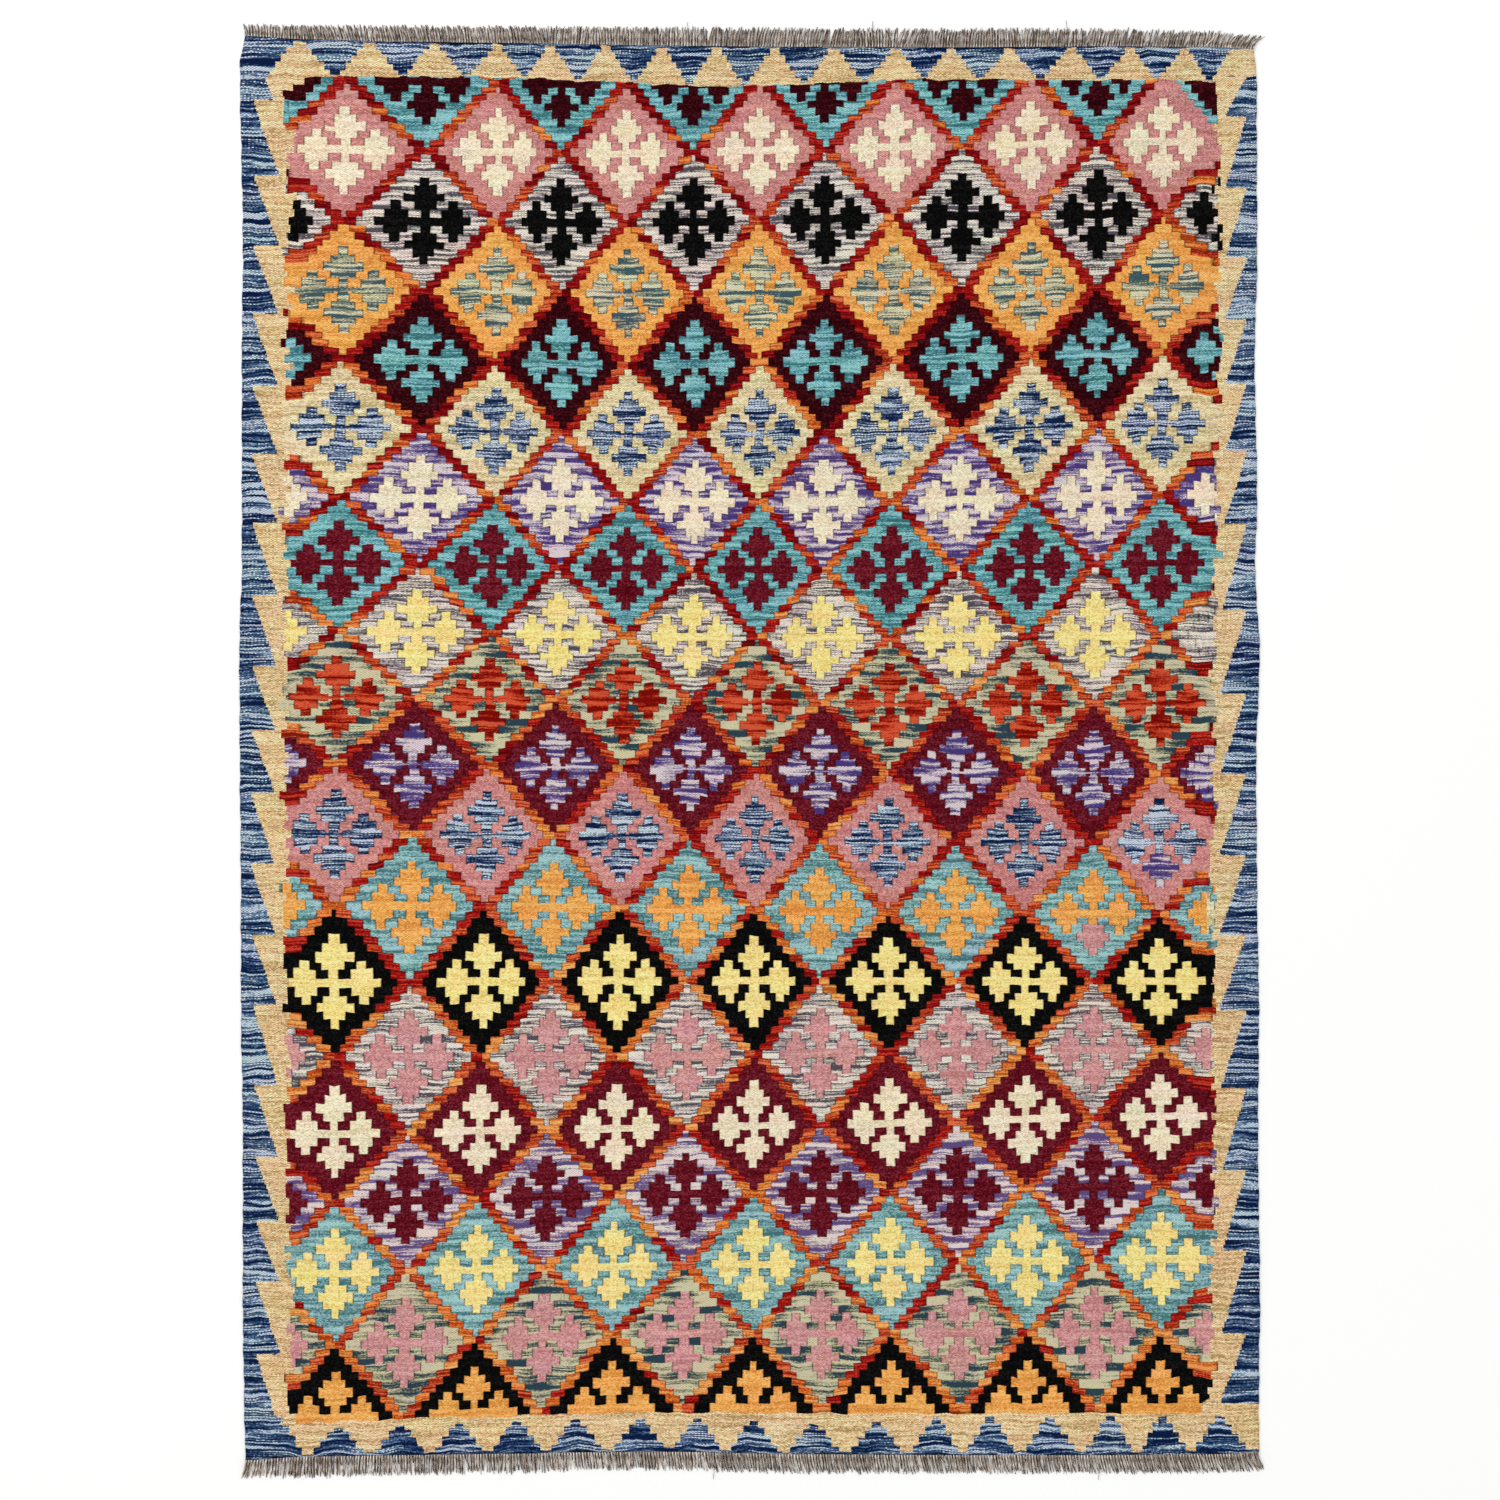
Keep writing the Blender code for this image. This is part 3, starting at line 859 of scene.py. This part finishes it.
def markLoom(mesh):
    # Writes the loom's count and the pattern's guide lines on the cloth's points.
    places = np.empty(len(mesh.vertices) * 3)
    mesh.vertices.foreach_get("co", places)
    places = places.reshape(-1, 3)
    x = (places[:, 0] - shift.x) / mm
    down = -(places[:, 1] - shift.y) / mm
    across = np.clip((x + rug["width"] / 2 / mm) / (rug["width"] / mm), 0, 1)
    cells, rows = countCells(x, down)
    setAttribute(mesh, "loom", cells, rows, np.zeros(len(cells)))

    def sideLine(side):
        return countCells(np.interp(down, field[side + "Down"], field[side]), down)[0]

    def endLine(place):
        return countCells(x, place)[1]

    def toothLine(kind):
        # The tips or the roots of the side teeth, at the left or the right as each point lies.
        left = np.interp(down, sideTeeth["leftDown"], sideTeeth["left" + kind])
        right = np.interp(down, sideTeeth["rightDown"], sideTeeth["right" + kind])
        return np.where(isLeft, left, right)

    isLeft = x < 0
    farLine = endLine(np.interp(x, field["farAcross"], field["far"]))
    nearLine = endLine(np.interp(x, field["nearAcross"], field["near"]))
    farEdge = endLine(-endY(across, 1) / mm + farTeeth["edge"])
    nearEdge = endLine(-endY(across, -1) / mm - nearTeeth["edge"])
    setAttribute(mesh, "fieldEdges", sideLine("left"), sideLine("right"), farLine)
    setAttribute(mesh, "endEdges", nearLine, farEdge, nearEdge)

    sideTooth = np.where(isLeft, markCount(down, sideTeeth["left"]), markCount(down, sideTeeth["right"]))
    farTooth = np.clip(markCount(x, farTeeth["across"]) + 0.5, 0, len(farTeeth["across"]) - 0.5)
    nearTooth = np.clip(markCount(x, nearTeeth["across"]), 0, len(nearTeeth["across"]) - 1.5)
    setAttribute(mesh, "teeth", farTooth, nearTooth, sideTooth)
    setAttribute(mesh, "nearTip", endLine(np.interp(x, nearTeeth["across"], nearTeeth["down"])))
    tip, root = toothLine("Tip"), toothLine("Root")
    # Below the last tooth at the right, every place counts as past its root, and is beige.
    isBelow = ~isLeft & (down > sideTeeth["rightEnds"])
    setAttribute(mesh, "sideIn", (x - tip) / (root - tip) + np.where(isBelow, 5, 0))


def makeCloth(material):
    bm = bmesh.new()
    bmesh.ops.create_grid(bm, x_segments=cloth["columns"], y_segments=cloth["rows"], size=0.5)
    across = np.array([vert.co.x + 0.5 for vert in bm.verts])
    along = np.array([vert.co.y + 0.5 for vert in bm.verts])
    rim = 0.001             # points of the grid that are this near its outline lie on it
    atSides = (across < rim) | (across > 1 - rim)
    atEnds = (along < rim) | (along > 1 - rim)
    x = sideX(across, along)
    y = endY(across, -1) + (endY(across, 1) - endY(across, -1)) * along
    ripple = sum(np.sin(along * math.tau * waves) * part for waves, part in cloth["rippleWaves"])
    x += np.where(atSides, ripple * cloth["ripple"], 0)
    top = np.full(len(x), rug["thickness"])
    for swell in cloth["swells"]:
        turn = math.tau * (swell["across"] * across + swell["along"] * along) + swell["phase"]
        top += swell["height"] * mm * np.sin(turn)
    top -= np.where(atSides | atEnds, cloth["edgeDrop"], 0)
    rise = bm.verts.layers.float.new("rise")
    for vert, px, py, pz in zip(bm.verts, x, y, top):
        vert.co = (px + shift.x, py + shift.y, 0)
        vert[rise] = pz
    lifted = bmesh.ops.extrude_face_region(bm, geom=bm.faces[:], use_keep_orig=True)
    for vert in lifted["geom"]:
        if isinstance(vert, bmesh.types.BMVert):
            vert.co.z = vert[rise]
    bmesh.ops.recalc_face_normals(bm, faces=bm.faces[:])
    addFlatMap(bm)
    return finishPiece("kilim_cloth", bm, material)


def addFlatMap(bm):
    # A flat map for the weave: the face on the left half, the back on the right half.
    layer = bm.loops.layers.uv.new("OFBake")
    margin = cloth["mapMargin"]
    span = max(rug["width"] * 2, rug["length"]) + margin * 4
    for face in bm.faces:
        offset = 0.5 if face.normal.z < -0.5 else 0.0
        for loop in face.loops:
            place = loop.vert.co
            loop[layer].uv = ((place.x + rug["width"] / 2 + margin) / span + offset,
                              (place.y + span / 2) / span)


def makeObject(name, bm, material):
    mesh = bpy.data.meshes.new(name)
    bm.to_mesh(mesh)
    bm.free()
    mesh.materials.append(material)
    made = bpy.data.objects.new(name, mesh)
    bpy.context.scene.collection.objects.link(made)
    return made


def finishPiece(name, bm, material):
    piece = makeObject(name, bm, material)
    piece.data.shade_smooth()
    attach(piece, "root")
    return piece


# The fringe: sizes in mm, and shades from 0 to 1. A pair is for a strand's root and tip, or the least
# and the most of what varies by chance. What is called a jitter is a usual deviation.
fringe = dict(
    ridges=350,             # warp ends that lie on top at each end of the rug, with a dark one between as painted shade
    levels=7,
    ridgeRadii=(1.5, 1.15),
    darkRadii=(1.35, 0.95),
    endRadius=0.7,          # a strand is drawn in to this share of its radius at both its ends
    rootIn=1.5,             # it begins this far inside the last wefts,
    rootHeight=1.3,         # this far above the floor,
    restHeight=0.9,         # and comes to rest on it, with its middle at this share of its radius
    leanPower=1.25,         # above 1 it leans more towards its tip
    bendTurn=1.4,           # half turns in its bend
    bendJitter=0.55,
    lengths=(0.90, 1.12),   # as shares of the table's length
    darkLengths=(0.86, 1.04),       # by which a dark one is shorter again
    shareJitter=0.00012,    # of the rug's width
    leanJitter=0.8,
    sways=[dict(reach=1.2, pace=97, phase=1), dict(reach=0.8, pace=211, phase=0)],
    ridgeRises=(0.2, 0.9),  # how far a strand's middle is lifted
    darkRise=-0.3,
    shade=dict(far=0.74, near=0.82),
    shadeSway=0.10,
    shadePace=61,
    shadeJitter=0.13,
    darkShades=(0.03, 0.52),
    broken=0.06,            # the share of the dark ones that are broken off,
    brokenLeft=0.3,         # and the share in the left part of the near end,
    leftPart=0.4,
    brokenLength=0.45,      # to this share of their length
    partings=[0.458, 0.579, 0.646, 0.770, 0.874],   # where the far fringe opens, at shares of the width,
    partingLean=4.5,        # how far the strands beside it lean away,
    partingWidth=0.004,     # and how soon that fades
    mottle=0.14,            # how much the shade changes along a strand
    shadeKept=0.9,          # how much of a strand's own shade shows,
    rootShade=0.25,         # and how much lighter it is at its root,
    outShade=0.06,          # just beyond it,
    tipShade=-0.10,         # and towards its tip
)

# Loose thin hairs among them.
hairs = dict(
    count=260,
    shares=(0.003, 0.997),
    lengths=(0.8, 1.15),
    leanJitter=4.5,
    bendJitter=1.5,
    rises=(0.8, 1.6),
    radii=(0.6, 0.4),
    shades=(0.1, 1.1),
)

# How far the fringe's tips lean to the right, in mm at shares of the width.
leans = dict(
    farShare=[0.00, 0.02, 0.058, 0.064, 0.13, 0.14, 0.25, 0.29, 0.31, 0.36, 0.44, 0.50, 0.57, 0.62,
              0.66, 0.70, 0.76, 0.81, 0.87, 0.93, 0.97, 1.00],
    far=[-5, 0, -1, -8, -5, -7, -4, -6, 3, 0, 1, 4, 5, 0, 7, 3, 0, 2, 7, 6, 9, 14],
    nearShare=[0.00, 0.03, 0.07, 0.15, 0.25, 0.35, 0.50, 0.60, 0.70, 0.80, 0.89, 0.93, 1.00],
    near=[-6, -4, -1, 0, 1, 3, 5, 5, 6, 5, 10, 9, 9],
)

# Single ends that stray from the rest, each at a share of the width.
strays = dict(
    bend=1.5,
    rise=2.2,
    radii=(1.3, 0.7),       # as shares of the radius below
    far=dict(
        share=[0.439, 0.620, 0.815, 0.951, 0.640, 0.652],
        lean=[0, 5, -1, 30, -7, 12],
        length=[40, 44, 44, 28, 30, 32],
        radius=[0.5, 0.7, 0.5, 0.8, 0.8, 0.8],
        shade=[0.15, 0.05, 0.12, 1.25, 0.3, 0.25],
    ),
    near=dict(
        share=[0.462, 0.080, 0.841, 0.003, 0.445, 0.905],
        lean=[1, 2, 3, -9, 3, 16],
        length=[46, 38, 42, 30, 31, 34],
        radius=[0.5, 0.5, 0.5, 0.7, 1.1, 0.6],
        shade=[0.12, 0.3, 0.2, 0.1, 1.15, 0.5],
    ),
)

fringeWool = dict(
    tones=[(44, 34, 27), (113, 98, 87), (175, 161, 149), (234, 225, 216)],
    steps=[(0.0, 0.4), (0.4, 0.8), (0.8, 1.2)],     # where each tone passes into the next
    plyDepth=0.22,
    fibreDepth=0.45,
    fibreScale=900.0,
    fibreHeight=0.0003,     # in metres
)


def makeFringeMaterial():
    material, tree, shader = startMaterial("fringeWool", Roughness=0.9, Specular_IOR_Level=0.05)
    shade = attribute(tree, "shade", output=2)
    ply = attribute(tree, "ply", output=2)
    place = addNode(tree, "ShaderNodeTexCoord", {}, {}, output=3)
    fibre = noise(place, fringeWool["fibreScale"], 2.0) - 0.5
    # The ply stripes are painted light and shade of the twisted plies.
    tone = shade + (ply - 0.5) * fringeWool["plyDepth"] + fibre * fringeWool["fibreDepth"]
    tones = [(*linearColour(rgb), 1.0) for rgb in fringeWool["tones"]]
    colour = tones[0]
    for (low, high), paler in zip(fringeWool["steps"], tones[1:]):
        colour = tone.spread(low, high).blendColours(paler, colour)
    tree.links.new(colour.socket, shader.inputs["Base Color"])
    relief = {"Height": fibre, "Distance": fringeWool["fibreHeight"]}
    bump = addNode(tree, "ShaderNodeBump", {}, relief)
    tree.links.new(bump.socket, shader.inputs["Normal"])
    return material


def sideOf(end):
    return "far" if end > 0 else "near"


def usualLength(share, end):
    return eased(share, ends["share"], ends[sideOf(end) + "Fringe"])


def usualLean(share, end):
    return eased(share, leans[sideOf(end) + "Share"], leans[sideOf(end)])


def strandPath(end, share, lean, length, bend, rise, radii):
    # From the last wefts outwards: the points and the radius at each level, in metres.
    levels = fringe["levels"]
    rootX = sideX(share, 1.0 if end > 0 else 0.0) / mm
    rootY = endY(share, end) / mm - end * fringe["rootIn"]
    path = []
    for level in range(levels + 1):
        part = level / levels
        sideways = bend * math.sin(part * math.pi * fringe["bendTurn"])
        px = rootX + lean * part ** fringe["leanPower"] + sideways
        radius = radii[0] * (1 - part) + radii[1] * part
        if level in (0, levels):
            radius *= fringe["endRadius"]
        pz = fringe["rootHeight"] * (1 - part) ** 2 + radius * fringe["restHeight"]
        pz += rise * math.sin(part * math.pi)
        path.append((Vector((px, rootY + end * length * part, pz)) * mm + shift, radius * mm))
    return path


def layStrands(end, dice):
    # The warp ends side by side: ridges, and between them darker ones that lie lower, whose dark shades
    # are painted shade for the gaps between the ridges.
    count = fringe["ridges"] * 2 - 1
    paths = []
    for strand in range(count):
        share = (strand + 0.5) / count + dice.gauss(0, fringe["shareJitter"])
        length = usualLength(share, end) * dice.uniform(*fringe["lengths"])
        lean = usualLean(share, end)
        for sway in fringe["sways"]:
            lean += sway["reach"] * math.sin(share * sway["pace"] + end * sway["phase"])
        lean += dice.gauss(0, fringe["leanJitter"])
        if end > 0:
            for parting in fringe["partings"]:
                away = share - parting
                fading = math.exp(-abs(away) / fringe["partingWidth"])
                lean += math.copysign(fringe["partingLean"], away) * fading
        if strand % 2 == 0:
            shade = fringe["shade"][sideOf(end)] + dice.gauss(0, fringe["shadeJitter"])
            shade += fringe["shadeSway"] * math.sin(share * fringe["shadePace"])
            radii = fringe["ridgeRadii"]
            rise = dice.uniform(*fringe["ridgeRises"])
        else:
            # A dark one's low shade is painted shade between the ridges.
            shade = dice.uniform(*fringe["darkShades"])
            radii = fringe["darkRadii"]
            length *= dice.uniform(*fringe["darkLengths"])
            rise = fringe["darkRise"]
            isLeft = end < 0 and share < fringe["leftPart"]
            if dice.random() < fringe["brokenLeft" if isLeft else "broken"]:
                length *= fringe["brokenLength"]
        bend = dice.gauss(0, fringe["bendJitter"])
        paths.append((strandPath(end, share, lean, length, bend, rise, radii), shade))
    return paths


def layHairs(end, dice):
    paths = []
    for hair in range(hairs["count"]):
        share = dice.uniform(*hairs["shares"])
        length = usualLength(share, end) * dice.uniform(*hairs["lengths"])
        lean = usualLean(share, end) + dice.gauss(0, hairs["leanJitter"])
        bend = dice.gauss(0, hairs["bendJitter"])
        rise = dice.uniform(*hairs["rises"])
        path = strandPath(end, share, lean, length, bend, rise, hairs["radii"])
        paths.append((path, dice.uniform(*hairs["shades"])))
    return paths


def layStrays(end):
    paths = []
    for share, lean, length, radius, shade in zip(*strays[sideOf(end)].values()):
        radii = [radius * part for part in strays["radii"]]
        path = strandPath(end, share, lean, length, strays["bend"], strays["rise"], radii)
        paths.append((path, shade))
    return paths


def makeFringe(name, end, material, node, seed):
    dice = random.Random(seed)
    paths = layStrands(end, dice) + layHairs(end, dice) + layStrays(end)
    levels = fringe["levels"]
    mottles = [[dice.gauss(0, fringe["mottle"]) for level in range(levels + 1)] for path in paths]
    bm = bmesh.new()
    strandLayer = bm.verts.layers.int.new("strand")
    cornerLayer = bm.verts.layers.int.new("corner")
    shadeLayer = bm.verts.layers.float.new("shade")
    plyLayer = bm.verts.layers.float.new("ply")

    def place(vert, level):
        path, shade = paths[vert[strandLayer]]
        center, radius = path[level]
        ahead = (path[min(level + 1, levels)][0] - path[max(level - 1, 0)][0]).normalized()
        across = ahead.cross(Vector((0, 0, 1))).normalized()
        up = across.cross(ahead)
        angle = (vert[cornerLayer] + 0.5) * math.pi / 2
        vert.co = center + (across * math.cos(angle) + up * math.sin(angle)) * radius
        lighter = fringe["rootShade"]
        if level > 0:
            lighter = fringe["outShade"] + fringe["tipShade"] * level / levels
        vert[shadeLayer] = shade * fringe["shadeKept"] + mottles[vert[strandLayer]][level] + lighter
        # Painted light and shade of the ply twist, on alternate faces.
        vert[plyLayer] = 1.0 if (vert[cornerLayer] + level) % 4 < 2 else 0.0

    for strand in range(len(paths)):
        ring = bmesh.ops.create_circle(bm, cap_ends=True, segments=4, radius=1.0)["verts"]
        for corner, vert in enumerate(ring):
            vert[strandLayer] = strand
            vert[cornerLayer] = corner
            place(vert, 0)
    caps = bm.faces[:]
    for level in range(1, levels + 1):
        caps = bmesh.ops.extrude_discrete_faces(bm, faces=caps)["faces"]
        for cap in caps:
            for vert in cap.verts:
                place(vert, level)
    rims = [edge for edge in bm.edges if edge.is_boundary]
    bmesh.ops.holes_fill(bm, edges=rims, sides=4)
    bmesh.ops.recalc_face_normals(bm, faces=bm.faces[:])
    piece = finishPiece(name, bm, material)
    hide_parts(node)
    return piece


# The room and the view, in metres.
room = dict(
    pixel=0.001675,         # one pixel of the picture, on the floor
    pixelsWide=1500,
    aside=1.0,              # the picture's middle lies this many pixels right of the rug's,
    nearer=0.25,            # and this many nearer
    lens=85.0,              # in mm
    sensor=36.0,
    seenTo=50.0,
    floor=(251, 251, 250),
    floorHalf=15.0,
    floorGap=0.0003,        # under the rug
    sky=0.98,
    lampPower=26.0,
    lampSize=(2.4, 1.8),
    lampPlace=(-2.2, 2.4, 2.6),
)


def makeFloor():
    bm = bmesh.new()
    bmesh.ops.create_grid(bm, x_segments=2, y_segments=2, size=room["floorHalf"])
    colour = (*linearColour(room["floor"]), 1.0)
    material = startMaterial("paleFloor", Base_Color=colour, Roughness=0.8, Specular_IOR_Level=0.1)[0]
    floor = makeObject("floor", bm, material)
    floor.location.z = -room["floorGap"]


def makeLight():
    scene = bpy.context.scene
    world = bpy.data.worlds.new("studio")
    world.use_nodes = True
    background = world.node_tree.nodes["Background"]
    background.inputs["Color"].default_value = (1.0, 1.0, 1.0, 1.0)
    background.inputs["Strength"].default_value = room["sky"]
    scene.world = world
    lamp = bpy.data.lights.new("softbox", "AREA")
    lamp.shape = "RECTANGLE"
    lamp.size, lamp.size_y = room["lampSize"]
    lamp.energy = room["lampPower"]
    softbox = bpy.data.objects.new("softbox", lamp)
    softbox.location = room["lampPlace"]
    softbox.rotation_euler = (-softbox.location).to_track_quat("-Z", "Y").to_euler()
    scene.collection.objects.link(softbox)
    scene.view_settings.view_transform = "Standard"


def makeCamera():
    camera = bpy.data.cameras.new("overhead")
    camera.lens = room["lens"]
    camera.sensor_width = room["sensor"]
    camera.clip_end = room["seenTo"]
    distance = room["pixelsWide"] * room["pixel"] * room["lens"] / room["sensor"]
    viewer = bpy.data.objects.new("overhead", camera)
    x = shift.x + room["aside"] * room["pixel"]
    y = shift.y - room["nearer"] * room["pixel"]
    viewer.location = (x, y, distance)
    bpy.context.scene.collection.objects.link(viewer)
    bpy.context.scene.camera = viewer


clothPiece = makeCloth(makeWeaveMaterial())
markLoom(clothPiece.data)
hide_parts("cloth")
print("cloth", len(clothPiece.data.polygons))

warpWool = makeFringeMaterial()
farFringe = makeFringe("fringe_strands_far", 1, warpWool, "fringe_far", seed=11)
nearFringe = makeFringe("fringe_strands_near", -1, warpWool, "fringe_near", seed=23)
print("fringe", len(farFringe.data.polygons))

makeFloor()
makeLight()
makeCamera()
print("room")
